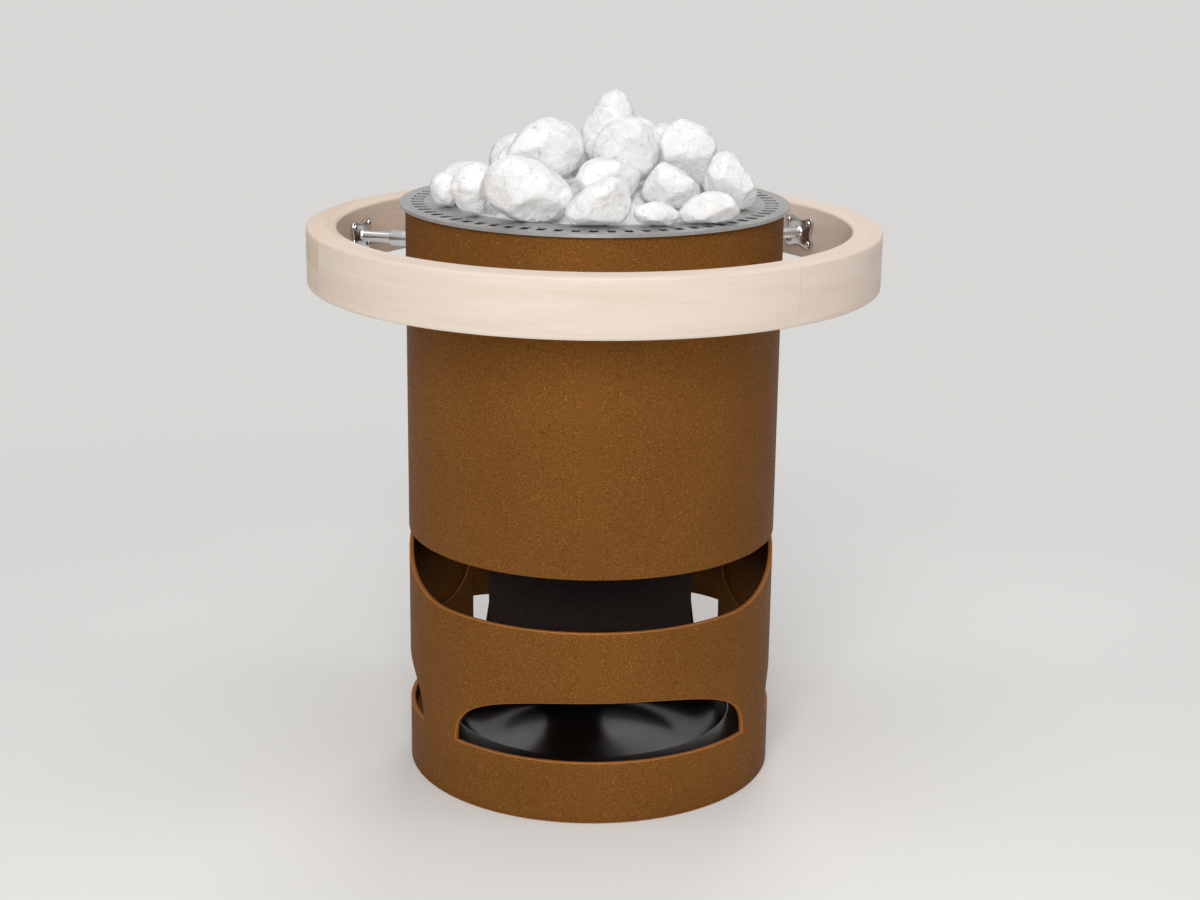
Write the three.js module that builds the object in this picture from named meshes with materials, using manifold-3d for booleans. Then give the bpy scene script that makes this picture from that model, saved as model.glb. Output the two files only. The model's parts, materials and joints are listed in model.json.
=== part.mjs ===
// A round sauna heater: a coated drum full of stones on a slotted base tube, inside a wooden guard rail.
// Millimetres, +Z up, the floor at z = 0, the front at -Y. Angles are degrees from the front towards +X.
import * as THREE from "three";
import { mergeVertices } from "three/addons/utils/BufferGeometryUtils.js";
import Module from "manifold-3d";

const wasm = await Module();
wasm.setup();

// Clearances
const seat = 0.3; // between pieces that touch
const channel = 3; // round a heating element where it passes through the stones or the grate
const overcut = 4; // how far a cutting shape runs past what it cuts

// Facets
const roundSteps = 48; // facets of a full circle
const panelStep = 360 / roundSteps; // degrees of one facet of a bent panel
const innerSteps = 36; // facets of the round pieces inside
const cutStep = 4.5; // degrees of one step of a curved cut
const facetShare = Math.cos(Math.PI / roundSteps); // middle of a facet, as a share of the radius
const mergeDistance = 1e-3;

// Drum
const drumRadius = 200;
const drumWall = 2;
const drumBottom = 268;
const drumHeight = 352;
const drumLip = 15; // return edge under the drum, which carries its floor
const floorThickness = 2;
const shieldGap = 22; // from the shield to the drum's outside
const shieldWall = 1;
const shieldDrop = 12; // from the shield's upper edge to the drum's
const drumTop = drumBottom + drumHeight;
const drumInner = drumRadius - drumWall;
const shieldRadius = drumRadius - shieldGap;
const floorUnder = drumBottom + drumWall + seat;
const floorTop = floorUnder + floorThickness;
const floorRadius = drumInner * facetShare - seat;
const innerFoot = floorTop + seat;

// Stone basket and grate
const basketGap = 40; // from the basket to the drum's outside
const basketWall = 1.5;
const grateRise = 67; // from the drum's lower edge to the grate
const grateThickness = 4;
const basketLedge = 14; // ledge inside the basket, under the grate
const grateHoleCount = 18;
const grateHoleRadius = 7;
const grateHoleInset = 26; // from the basket to the middle of a hole
const holeSides = 8;
const smallHoleSides = 6;
const basketRadius = drumRadius - basketGap;
const basketInner = basketRadius - basketWall;
const grateHeight = drumBottom + grateRise;
const grateHoleMiddle = basketRadius - grateHoleInset;
const grateRadius = basketInner - seat;
const bedUnder = grateHeight + grateThickness + seat;

// Top plate with one circle of radial slots
const plateOverhang = 6;
const plateThickness = 3.4;
const plateLap = 8; // how far the plate reaches in over the basket
const plateSlotCount = 68;
const plateSlotInset = 13; // from the drum's outside to the middle of a slot
const plateSlotLength = 14;
const plateSlotWidth = 8.5;
const plateHoleRadius = basketRadius - plateLap;
const plateSlotMiddle = drumRadius - plateSlotInset;
const plateUnder = drumTop + seat;

// Base tube
const baseWall = 5;
const sillHeight = 211; // lower edge of the front window
const sillHalf = 50; // degrees to each side in which the sill is level
const windowHalf = 100; // degrees to each side where the window ends under the drum
const windowRise = 1.7; // exponent of the curve from the sill up to the drum
const slotCount = 3;
const slotTurn = 5.5; // degrees from the front to the middle of the first slot
const slotHalf = 50.5;
const slotBottom = 68;
const slotHeight = 66;
const slotTip = 2; // height of a slot at its two ends
const slotSquareness = 2.4; // exponent of a slot's upper edge
const baseTop = drumBottom - seat;
const baseInner = drumRadius - baseWall;

// Ring and bowl inside the base
const ringHeight = 52;
const ringThickness = 2;
const ringWidth = 22;
const ringSkirt = 16;
const bowlInset = 43; // from the bowl to the drum's outside
const bowlWall = 2;
const bowlDepth = 44;
const bowlShoulder = 61; // width of the bowl's rounded side
const bowlFlangeGap = 3; // between the bowl's flange and the rear support
const bowlArcSteps = 4;
const bowlRadius = drumRadius - bowlInset;
const bowlFloorRadius = bowlRadius - bowlShoulder;
const ringTop = ringHeight + ringThickness;
const bowlRim = ringTop + seat + bowlWall;

// Rear support, a bent sheet inside the base with two legs
const supportWall = 4;
const supportTurn = -2.5; // degrees from the back to its middle
const supportHalf = 50.5; // degrees to each side of its middle
const supportFoot = 68; // degrees to each side at its legs
const supportFlareTop = 185;
const supportFlareEnd = 140;
const archHalf = 49;
const archTop = 158;
const supportMiddle = 180 + supportTurn;
const supportOuter = baseInner * facetShare - seat;
const supportInner = supportOuter - supportWall;

// Terminal box under the drum
const boxWidth = 214;
const boxDepth = 226;
const boxHeight = 90;
const boxFront = -112;
const boxWall = 2;
const lidThickness = 2;
const lidOverhang = 5;
const blockWidth = 120;
const blockDepth = 34;
const blockHeight = 24;
const blockWays = 6;
const blockGroove = 5;
const glandRadius = 13;
const glandNutRadius = 17;
const glandNutLength = 9;
const glandLength = 24;
const glandBore = 8;
const boxTop = floorUnder - seat;
const boxUnder = boxTop - boxHeight;
const boxMiddle = boxFront + boxDepth / 2;

// Heating elements, hairpin tubes that stand in a circle
const elementCount = 6;
const elementRadius = 4;
const elementInset = 23; // from the middle of the box's wall to the circle of the elements
const elementSpan = 44; // between the two legs of a hairpin
const elementDrop = 60; // from the drum's upper edge to the top of a hairpin
const elementReach = 32; // how far the legs reach down below the drum
const elementBendSteps = 8;
const elementSides = 6;
const holderThickness = 4;
const holderOverlap = 8;
const floorHoleMargin = 18; // from the circle of the elements to the edge of the hole in the floor
const elementCircle = boxDepth / 2 - elementInset;
const elementTop = drumTop - elementDrop;
const elementFoot = drumBottom - elementReach;
const floorHoleRadius = elementCircle + floorHoleMargin;

// Bed of stones round the elements, up to the heap
const bedDrop = 22; // from the drum's upper edge to where the bed leaves the basket's wall
const bedRise = 48; // from there to the crown
const bedWall = 1.5; // left free inside the basket
const bedRoof = 14; // stones over the top of the elements
const bedCrownSteps = 6;
const bedShoulder = drumTop - bedDrop;
const bedCrown = bedShoulder + bedRise;

// Wooden guard rail and its brackets
const railGap = 72; // between the drum and the rail
const railThickness = 32;
const railHeight = 60;
const railBottom = 540;
const railJoints = [-66, 41, 167]; // angles of the glued joints
const bracketAngles = [7, 121, 253];
const flangeThickness = 3;
const flangeHoleX = 18.5; // from the rod's axis to a screw hole, along the rail and upwards
const flangeHoleZ = 11.5;
const flangeHoleRadius = 1.8;
const flangeEar = 6; // radius round a screw hole
const flangeEarSteps = 5;
const flangeWaist = 3.5; // how far the edges draw in between two ears
const rodRadius = 6;
const rodSteps = 16;
const sleeveRadius = 8.5;
const sleeveLength = 32;
const rodInset = 5; // from the drum to the inner end of a rod
const railInner = drumRadius + railGap;
const railOuter = railInner + railThickness;
const railMiddle = railBottom + railHeight / 2;

// Stones of the heap, in the order in which they are laid: name, middle x and y, width, depth and height
const heapReach = 160; // radius of the basket for which the stones' middles are given
const heap = [
  ["far_left", -154, -50, 32, 40, 36],
  ["left", -125, -106, 40, 42, 54],
  ["front_left", -65, -132, 88, 60, 66],
  ["front_middle", 4, -158, 66, 44, 48],
  ["front_small", 62, -154, 46, 38, 24],
  ["front_right", 115, -132, 62, 38, 32],
  ["right", 140, -46, 56, 60, 60],
  ["back_right", 130, 40, 60, 62, 44],
  ["back_right_low", 92, 116, 78, 62, 54],
  ["back_middle", 6, 144, 80, 58, 56],
  ["back_left_low", -82, 118, 74, 64, 56],
  ["back_left", -136, 36, 56, 72, 36],
  ["inner_left", -50, -62, 46, 38, 18],
  ["middle_right", 78, -66, 60, 52, 46],
  ["middle", 13, -70, 68, 50, 42],
  ["inner_back_left", -74, 34, 62, 58, 46],
  ["inner_back", -10, 84, 82, 62, 50],
  ["inner_back_right", 78, 54, 62, 54, 54],
  ["upper_left", -52, -46, 80, 60, 64],
  ["upper_right", 97, -8, 62, 54, 73],
  ["upper_middle", 31, -22, 70, 56, 70],
  ["upper_back_left", -42, 34, 46, 42, 28],
  ["peak", 14, 38, 58, 52, 83],
  ["upper_back_right", 46, 104, 44, 40, 34],
];

// Outlines of the stones that face the front, as corners from -1 to 1 across and upwards, clockwise
const stoneOutlines = {
  far_left: [[-1, 0.4], [-0.4, 1], [0.6, 1], [1, 0.4], [0.9, -0.5], [0.5, -1], [-0.6, -0.6]],
  left: [[-1, 0.1], [-0.5, 0.7], [0.3, 1], [1, 0.9], [0.9, 0], [0.8, -1], [-0.2, -0.9], [-0.8, -0.5]],
  front_left: [
    [-1, 0.2], [-0.9, 0.8], [-0.6, 1], [0.7, 0.3], [1, -0.1],
    [1, -0.6], [0.8, -1], [-0.6, -0.8], [-1, -0.3],
  ],
  front_middle: [
    [-1, -0.9], [-0.5, 0.1], [-0.1, 0.7], [0.4, 1],
    [0.9, 0.8], [1, 0.2], [0.9, -0.9], [0.2, -1],
  ],
  front_small: [
    [-1, 0], [-0.6, 0.8], [0, 1], [0.6, 0.4],
    [1, -0.2], [0.7, -0.9], [-0.3, -1], [-0.9, -0.7],
  ],
  front_right: [
    [-1, -0.8], [-0.5, 0.6], [0, 1], [0.5, 0.8],
    [0.9, 0], [1, -0.3], [0.7, -0.7], [-0.9, -1],
  ],
  right: [
    [-1, -0.4], [-0.8, 0.3], [-0.5, 0.9], [0, 1], [0.4, 0.6],
    [1, -0.3], [1, -0.7], [0.5, -1], [-0.5, -0.7],
  ],
  middle_right: [
    [-1, -0.6], [-0.7, 0.3], [-0.5, 1], [0, 0.9], [0.5, 0.5],
    [1, 0], [1, -0.4], [0.7, -1], [-0.2, -0.9],
  ],
  middle: [
    [-1, -0.1], [-0.6, 0.7], [-0.2, 1], [0.4, 0.8],
    [0.9, 0.5], [1, 0.1], [0.6, -1], [-0.5, -0.9],
  ],
  upper_left: [
    [-1, -0.3], [-0.7, 0.2], [-0.2, 0.9], [0.1, 1], [0.6, 0.9],
    [1, 0.6], [0.9, -0.5], [0.4, -1], [0.1, -0.9],
  ],
  upper_right: [
    [-1, -0.3], [-0.9, 0.6], [-0.7, 0.9], [-0.2, 1], [0.5, 0.8],
    [1, 0.5], [0.7, -0.5], [0.2, -1], [-0.3, -0.8],
  ],
  upper_middle: [
    [-1, 0], [-0.9, 0.4], [0.3, 1], [0.7, 0.6],
    [1, -0.2], [0.9, -0.6], [0.5, -1], [-0.7, -0.7],
  ],
  peak: [
    [-1, -0.1], [-0.7, 0.3], [-0.1, 0.8], [0.2, 1], [0.6, 0.9],
    [0.9, 0.5], [1, 0.2], [0.9, -0.5], [0.4, -1], [-0.5, -0.9],
  ],
};
const plainOutline = [
  [-1, 0.1], [-0.7, 0.8], [0.1, 1], [0.8, 0.7],
  [1, -0.2], [0.6, -0.9], [-0.2, -1], [-0.8, -0.7],
];
const stoneDetail = 2;
const stoneRounding = 9; // exponent that rounds a stone's edges
const stoneSlopes = 8; // flats that slope to the front and the back
const slopeReach = 1.02; // distance of those flats, as a share of half the stone's size
const slopeStray = 0.16; // how much that distance varies
const seedStart = 104729;
const seedStep = 7919;
const randomFactor = 16807;
const randomModulus = 2147483647;
const dropStep = 6;
const dropPrecision = 0.05;

// Colours and finishes
const coated = { color: 0x7a4a1c, roughness: 0.62, metalness: 0.35 };
const darkSheet = { color: 0x2b2c31, roughness: 0.6, metalness: 0.4 };
const galvanised = { color: 0x9a9d9f, roughness: 0.5, metalness: 0.8 };
const stainless = { color: 0xb9bbbc, roughness: 0.3, metalness: 1.0 };
const blackGloss = { color: 0x0b0c0e, roughness: 0.08, metalness: 0.0 };
const pale = { color: 0xecd9bf, roughness: 0.6, metalness: 0.0 };
const quartz = { color: 0xecebe8, roughness: 0.75, metalness: 0.0 };
const elementSteel = { color: 0x4a4744, roughness: 0.45, metalness: 0.8 };
const insulator = { color: 0xd8d2c4, roughness: 0.7, metalness: 0.0 };
const rubberBlack = { color: 0x1a1a1a, roughness: 0.7, metalness: 0.0 };

const heater = new THREE.Group();

function addPart(name, geometry, finish, parent = heater) {
  const mesh = new THREE.Mesh(geometry, new THREE.MeshStandardMaterial(finish));
  mesh.name = name;
  parent.add(mesh);
  return mesh;
}

function radians(degrees) {
  return THREE.MathUtils.degToRad(degrees);
}

function polar(radius, angle, height) {
  const turn = radians(angle);
  return [radius * Math.sin(turn), -radius * Math.cos(turn), height];
}

// A closed profile of [radius, height] points, turned about the vertical axis
function turned(profile, steps = roundSteps) {
  const points = profile.map(([radius, height]) => new THREE.Vector2(radius, height));
  return new THREE.LatheGeometry(points, steps).rotateX(Math.PI / 2);
}

function tube(outer, inner, low, high, steps = roundSteps) {
  return turned([[inner, low], [outer, low], [outer, high], [inner, high], [inner, low]], steps);
}

// A solid of circular rings, each a list of the same number of corners, with flat ends
function lofted(rings) {
  const corners = rings[0].length;
  const faces = [];
  for (let i = 0; i + 1 < rings.length; i++) {
    for (let k = 0; k < corners; k++) {
      const a = i * corners + k;
      const d = i * corners + ((k + 1) % corners);
      faces.push(a, a + corners, d + corners, a, d + corners, d);
    }
  }
  const end = (rings.length - 1) * corners;
  for (let k = 1; k + 1 < corners; k++) {
    faces.push(0, k, k + 1, end, end + k + 1, end + k);
  }
  const geometry = new THREE.BufferGeometry();
  geometry.setAttribute("position", new THREE.Float32BufferAttribute(rings.flat(2), 3));
  geometry.setIndex(faces);
  geometry.computeVertexNormals();
  return geometry;
}

// A panel bent round the vertical axis, whose lower and upper edges may follow the angle
function bentPanel(from, to, inner, outer, low, high, step = panelStep) {
  const steps = Math.max(1, Math.ceil((to - from) / step));
  const rings = [];
  for (let i = 0; i <= steps; i++) {
    const angle = from + ((to - from) * i) / steps;
    const bottom = low(angle);
    const top = high(angle);
    rings.push([
      polar(inner, angle, bottom),
      polar(outer, angle, bottom),
      polar(outer, angle, top),
      polar(inner, angle, top),
    ]);
  }
  return lofted(rings);
}

function toSolid(geometry) {
  const bare = geometry.clone();
  bare.deleteAttribute("normal");
  bare.deleteAttribute("uv");
  const merged = mergeVertices(bare, mergeDistance);
  const vertProperties = new Float32Array(merged.getAttribute("position").array);
  const triVerts = new Uint32Array(merged.index.array);
  return new wasm.Manifold(new wasm.Mesh({ numProp: 3, vertProperties, triVerts }));
}

function toGeometry(made) {
  const mesh = made.getMesh();
  const geometry = new THREE.BufferGeometry();
  geometry.setAttribute("position", new THREE.BufferAttribute(mesh.vertProperties, 3));
  geometry.setIndex(new THREE.BufferAttribute(mesh.triVerts, 1));
  geometry.computeVertexNormals();
  return geometry;
}

function cut(geometry, cutters) {
  return toGeometry(cutters.reduce((rest, cutter) => rest.subtract(toSolid(cutter)), toSolid(geometry)));
}

function circlePath(x, y, radius, sides) {
  const points = [];
  for (let i = 0; i < sides; i++) {
    const turn = (2 * Math.PI * i) / sides;
    points.push(new THREE.Vector2(x + radius * Math.cos(turn), y + radius * Math.sin(turn)));
  }
  return points;
}

// A flat plate from an outline and the outlines of its holes
function plate(outline, holes, thickness) {
  const shape = new THREE.Shape(outline);
  shape.holes = holes.map((hole) => new THREE.Path(hole));
  return new THREE.ExtrudeGeometry(shape, { depth: thickness, bevelEnabled: false, steps: 1 });
}

// Base tube: a front window under the drum and three lens-shaped slots
function sill(angle) {
  const share = Math.max(0, (Math.abs(angle) - sillHalf) / (windowHalf - sillHalf));
  return sillHeight + (baseTop - sillHeight) * share ** windowRise;
}

function slotCrown(angle, middle) {
  const share = Math.min(1, Math.abs(angle - middle) / slotHalf);
  const rise = (1 - share ** slotSquareness) ** (1 / slotSquareness);
  return slotBottom + slotTip + (slotHeight - slotTip) * rise;
}

function baseTube() {
  const inner = baseInner - overcut;
  const outer = drumRadius + overcut;
  const above = () => baseTop + overcut;
  const cutters = [bentPanel(-windowHalf, windowHalf, inner, outer, sill, above, cutStep)];
  for (let i = 0; i < slotCount; i++) {
    const middle = slotTurn + (360 * i) / slotCount;
    const from = middle - slotHalf;
    const to = middle + slotHalf;
    const crown = (angle) => slotCrown(angle, middle);
    cutters.push(bentPanel(from, to, inner, outer, () => slotBottom, crown, cutStep));
  }
  return cut(tube(drumRadius, baseInner, 0, baseTop), cutters);
}

// Rear support: a tall sheet at the back that flares into two legs, with an arch between them
function supportFlare(angle) {
  const flareAngle = THREE.MathUtils.radToDeg((supportFlareTop - supportFlareEnd) / supportInner);
  const share = Math.min(1, Math.max(0, (Math.abs(angle - supportMiddle) - supportHalf) / flareAngle));
  return supportFlareTop - (supportFlareTop - supportFlareEnd) * Math.sqrt(1 - (1 - share) ** 2);
}

function rearSupport() {
  const inner = supportInner;
  const outer = supportOuter;
  const foot = () => ringTop + seat;
  const sheet = (half, top, step) =>
    bentPanel(supportMiddle - half, supportMiddle + half, inner, outer, foot, top, step);
  const tall = sheet(supportHalf, () => baseTop);
  const legs = sheet(supportFoot, supportFlare, cutStep);
  const arch = bentPanel(
    supportMiddle - archHalf,
    supportMiddle + archHalf,
    inner - overcut,
    outer + overcut,
    () => ringTop - overcut,
    () => archTop,
  );
  return toGeometry(toSolid(tall).add(toSolid(legs)).subtract(toSolid(arch)));
}

// Ring in the base with a skirt, which carries the bowl and the rear support
function bowlRing() {
  const outer = baseInner - seat;
  const inner = outer - ringWidth;
  return turned([
    [outer - ringThickness, ringHeight - ringSkirt],
    [outer, ringHeight - ringSkirt],
    [outer, ringTop],
    [inner, ringTop],
    [inner, ringHeight],
    [outer - ringThickness, ringHeight],
    [outer - ringThickness, ringHeight - ringSkirt],
  ]);
}

// Drip bowl: a rounded dish with a flat flange on the ring
function dripBowl() {
  const flange = supportInner - bowlFlangeGap;
  const under = bowlRim - bowlWall;
  const outside = [];
  const inside = [];
  for (let i = 0; i <= bowlArcSteps; i++) {
    const turn = (Math.PI / 2) * (i / bowlArcSteps);
    const reach = bowlFloorRadius + (bowlRadius - bowlFloorRadius) * Math.sin(turn);
    const rise = bowlDepth * (1 - Math.cos(turn));
    outside.push([reach, under - bowlDepth + rise]);
    inside.push([reach - bowlWall * Math.sin(turn), bowlRim - bowlDepth + rise]);
  }
  return turned([
    [0, under - bowlDepth],
    ...outside,
    [flange, under],
    [flange, bowlRim],
    ...inside.reverse(),
    [0, bowlRim - bowlDepth],
  ]);
}

// Drum: outer shell with a return edge, its floor, and the heat shield inside
function drumShell() {
  return turned([
    [drumRadius - drumLip, drumBottom],
    [drumRadius, drumBottom],
    [drumRadius, drumTop],
    [drumInner, drumTop],
    [drumInner, drumBottom + drumWall],
    [drumRadius - drumLip, drumBottom + drumWall],
    [drumRadius - drumLip, drumBottom],
  ]);
}

function stoneBasket() {
  const ledge = grateHeight - seat;
  return turned([
    [basketInner, innerFoot],
    [basketRadius, innerFoot],
    [basketRadius, drumTop],
    [basketInner, drumTop],
    [basketInner, ledge],
    [basketInner - basketLedge, ledge],
    [basketInner - basketLedge, ledge - basketWall],
    [basketInner, ledge - basketWall],
    [basketInner, innerFoot],
  ], innerSteps);
}

// Legs of the heating elements, as points in plan
function elementLegs() {
  const legs = [];
  for (let i = 0; i < elementCount; i++) {
    const turn = radians((360 * i) / elementCount);
    for (const side of [-1, 1]) {
      const along = (side * elementSpan) / 2;
      legs.push([
        elementCircle * Math.sin(turn) + along * Math.cos(turn),
        -elementCircle * Math.cos(turn) + along * Math.sin(turn),
      ]);
    }
  }
  return legs;
}

function legHoles(clearance) {
  return elementLegs().map(([x, y]) => circlePath(x, y, elementRadius + clearance, holeSides));
}

function elementHolder() {
  const outline = circlePath(0, 0, floorHoleRadius + holderOverlap, innerSteps);
  return plate(outline, legHoles(2 * seat), holderThickness).translate(0, 0, innerFoot);
}

function stoneGrate() {
  const holes = legHoles(channel);
  for (let i = 0; i < grateHoleCount; i++) {
    const [x, y] = polar(grateHoleMiddle, (360 * i) / grateHoleCount, 0);
    holes.push(circlePath(x, y, grateHoleRadius, smallHoleSides));
  }
  const outline = circlePath(0, 0, grateRadius, innerSteps);
  return plate(outline, holes, grateThickness).translate(0, 0, grateHeight);
}

// One hairpin: up one leg, round the bend and down the other
function heatingElement() {
  const bend = elementSpan / 2;
  const bendHeight = elementTop - bend - elementRadius;
  const ring = (turn, height) => {
    const corners = [];
    for (let k = 0; k < elementSides; k++) {
      const round = (2 * Math.PI * k) / elementSides;
      const reach = bend + elementRadius * Math.cos(round);
      const across = elementRadius * Math.sin(round);
      corners.push([-reach * Math.cos(turn), across, height + reach * Math.sin(turn)]);
    }
    return corners;
  };
  const rings = [ring(0, elementFoot)];
  for (let i = 0; i <= elementBendSteps; i++) {
    rings.push(ring((Math.PI * i) / elementBendSteps, bendHeight));
  }
  rings.push(ring(Math.PI, elementFoot));
  return lofted(rings);
}

// Top plate: a ring with radial slots
function topPlate() {
  const holes = [circlePath(0, 0, plateHoleRadius, roundSteps)];
  for (let i = 0; i < plateSlotCount; i++) {
    const turn = (2 * Math.PI * i) / plateSlotCount;
    const near = plateSlotMiddle - plateSlotLength / 2;
    const far = plateSlotMiddle + plateSlotLength / 2;
    const half = plateSlotWidth / 2;
    const corners = [[near, -half], [far, -half], [far, half], [near, half]];
    holes.push(corners.map(([x, y]) => new THREE.Vector2(x, y).rotateAround(new THREE.Vector2(), turn)));
  }
  const outline = circlePath(0, 0, drumRadius + plateOverhang, roundSteps);
  return plate(outline, holes, plateThickness).translate(0, 0, plateUnder);
}

// Bed: stones packed round the elements, with a channel for the hairpins and a crown under the heap
function stoneBed() {
  const reach = Math.hypot(elementCircle, elementSpan / 2) + elementRadius + channel;
  const near = elementCircle - elementRadius - channel;
  const roof = elementTop + bedRoof;
  const outer = basketInner - bedWall;
  const profile = [[0, bedUnder], [near, bedUnder], [near, roof], [reach, roof], [reach, bedUnder]];
  profile.push([outer, bedUnder]);
  for (let i = bedCrownSteps; i >= 0; i--) {
    const share = i / bedCrownSteps;
    profile.push([outer * share, bedCrown - (bedCrown - bedShoulder) * share ** 2]);
  }
  return turned(profile, innerSteps);
}

// Terminal box: four walls under the drum's floor, a lid, a terminal block and a cable gland
function rectangle(width, depth, middleY) {
  const x = width / 2;
  const y = depth / 2;
  return [[-x, -y], [x, -y], [x, y], [-x, y]].map(([a, b]) => new THREE.Vector2(a, middleY + b));
}

function terminalBox() {
  const inside = rectangle(boxWidth - 2 * boxWall, boxDepth - 2 * boxWall, boxMiddle);
  return plate(rectangle(boxWidth, boxDepth, boxMiddle), [inside], boxHeight).translate(0, 0, boxUnder);
}

function terminalBoxLid() {
  const outline = rectangle(boxWidth + 2 * lidOverhang, boxDepth + 2 * lidOverhang, boxMiddle);
  return plate(outline, [], lidThickness).translate(0, 0, boxUnder - seat - lidThickness);
}

// A comb of ways, seen along Y
function terminalBlock() {
  const way = blockWidth / blockWays;
  const outline = [new THREE.Vector2(-blockWidth / 2, 0), new THREE.Vector2(blockWidth / 2, 0)];
  for (let i = blockWays; i > 0; i--) {
    const right = -blockWidth / 2 + way * i;
    const left = right - way;
    outline.push(new THREE.Vector2(right, blockHeight));
    outline.push(new THREE.Vector2(left + blockGroove, blockHeight));
    outline.push(new THREE.Vector2(left + blockGroove, blockHeight / 2));
    outline.push(new THREE.Vector2(left, blockHeight / 2));
  }
  const block = plate(outline, [], blockDepth).rotateX(Math.PI / 2);
  return block.translate(0, boxMiddle + blockDepth / 2, boxUnder);
}

// A gland on the back wall of the box, turned about its own axis and laid along +Y
function cableGland() {
  const gland = turned([
    [glandBore, 0],
    [glandNutRadius, 0],
    [glandNutRadius, glandNutLength],
    [glandRadius, glandNutLength],
    [glandRadius, glandLength],
    [glandBore, glandLength],
    [glandBore, 0],
  ], rodSteps);
  return gland.rotateX(-Math.PI / 2).translate(0, boxFront + boxDepth + seat, boxUnder + boxHeight / 2);
}

// Guard rail: glued segments, and brackets of a sleeve, a rod and a flange with four ears
function railSegment(index) {
  const glue = THREE.MathUtils.radToDeg(seat / railInner);
  const from = railJoints[index];
  const next = railJoints[(index + 1) % railJoints.length];
  const to = next > from ? next : next + 360;
  return bentPanel(from, to - glue, railInner, railOuter, () => railBottom, () => railBottom + railHeight);
}

// Screw holes at the corners, anticlockwise from the upper right
function flangeHoles() {
  return [[1, 1], [-1, 1], [-1, -1], [1, -1]].map(([x, z]) => [x * flangeHoleX, z * flangeHoleZ]);
}

function flangeOutline() {
  const points = [];
  const waistX = flangeHoleX + flangeEar - flangeWaist;
  const waistZ = flangeHoleZ + flangeEar - flangeWaist;
  const waists = [[0, waistZ], [-waistX, 0], [0, -waistZ], [waistX, 0]];
  flangeHoles().forEach(([x, z], i) => {
    for (let k = 0; k < flangeEarSteps; k++) {
      const turn = (Math.PI / 2) * (i + k / (flangeEarSteps - 1));
      points.push(new THREE.Vector2(x + flangeEar * Math.cos(turn), z + flangeEar * Math.sin(turn)));
    }
    points.push(new THREE.Vector2(...waists[i]));
  });
  return points;
}

function railFlange() {
  const holes = flangeHoles().map(([x, z]) => circlePath(x, z, flangeHoleRadius, smallHoleSides));
  return plate(flangeOutline(), holes, flangeThickness);
}

function rail() {
  railJoints.forEach((_, i) => addPart(`rail_segment_${i + 1}`, railSegment(i), pale));
  const facetInner = railInner * facetShare - seat;
  const flangeBack = Math.sqrt(facetInner ** 2 - (flangeHoleX + flangeEar) ** 2);
  const rodEnd = flangeBack - flangeThickness - seat;
  const rodStart = drumRadius + rodInset;
  bracketAngles.forEach((angle, i) => {
    const bracket = new THREE.Group();
    bracket.rotation.set(0, 0, radians(angle));
    bracket.position.set(0, 0, railMiddle);
    const outward = new THREE.Group();
    outward.rotation.set(Math.PI / 2, 0, 0);
    bracket.add(outward);
    heater.add(bracket);
    const flange = addPart(`rail_flange_${i + 1}`, railFlange(), stainless, outward);
    flange.position.set(0, 0, flangeBack - flangeThickness);
    const rod = plate(circlePath(0, 0, rodRadius, rodSteps), [], rodEnd - rodStart);
    addPart(`rail_rod_${i + 1}`, rod, stainless, outward).position.set(0, 0, rodStart);
    const bore = circlePath(0, 0, rodRadius + seat, rodSteps);
    const sleeve = plate(circlePath(0, 0, sleeveRadius, rodSteps), [bore], sleeveLength);
    addPart(`rail_sleeve_${i + 1}`, sleeve, stainless, outward).position.set(0, 0, drumRadius + seat);
  });
}

// Heap: worn stones laid one after another, each lowered on to what lies under it
function seeded(seed) {
  let state = seed;
  return () => {
    state = (state * randomFactor) % randomModulus;
    return state / randomModulus;
  };
}

// Flats that bound a stone: one along each edge of its outline, others sloping to the front and the back
function stoneFlats(outline, random) {
  const flats = outline.map(([x, z], i) => {
    const [nextX, nextZ] = outline[(i + 1) % outline.length];
    const normal = new THREE.Vector3(z - nextZ, 0, nextX - x);
    return normal.divideScalar(normal.x * x + normal.z * z);
  });
  for (const side of [-1, 1]) {
    flats.push(new THREE.Vector3(0, side, 0));
    for (let i = 0; i < stoneSlopes; i++) {
      const turn = (2 * Math.PI * (i + random())) / stoneSlopes;
      const normal = new THREE.Vector3(Math.cos(turn), side, Math.sin(turn)).normalize();
      flats.push(normal.divideScalar(slopeReach + slopeStray * (random() - 0.5)));
    }
  }
  return flats;
}

function stoneShape(outline, width, depth, height, seed) {
  const flats = stoneFlats(outline, seeded(seedStart + seedStep * seed));
  const geometry = new THREE.IcosahedronGeometry(1, stoneDetail);
  const points = geometry.getAttribute("position");
  const point = new THREE.Vector3();
  for (let i = 0; i < points.count; i++) {
    point.fromBufferAttribute(points, i).normalize();
    const sum = flats.reduce((all, flat) => all + Math.max(0, point.dot(flat)) ** stoneRounding, 0);
    point.divideScalar(sum ** (1 / stoneRounding));
    points.setXYZ(i, point.x, point.y, point.z);
  }
  geometry.computeBoundingBox();
  const size = geometry.boundingBox.getSize(new THREE.Vector3());
  const middle = geometry.boundingBox.getCenter(new THREE.Vector3());
  geometry.translate(-middle.x, -middle.y, -middle.z);
  return geometry.scale(width / size.x, depth / size.y, height / size.z);
}

// The lowest height at which a stone's solid stays clear of what is already laid
function restingHeight(body, support, start) {
  let clear = start;
  const touches = (height) => !body.translate([0, 0, height]).intersect(support).isEmpty();
  while (clear > 0 && !touches(clear - dropStep)) {
    clear -= dropStep;
  }
  let blocked = clear - dropStep;
  while (clear - blocked > dropPrecision) {
    const half = (clear + blocked) / 2;
    if (touches(half)) {
      blocked = half;
    } else {
      clear = half;
    }
  }
  return clear;
}

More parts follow.
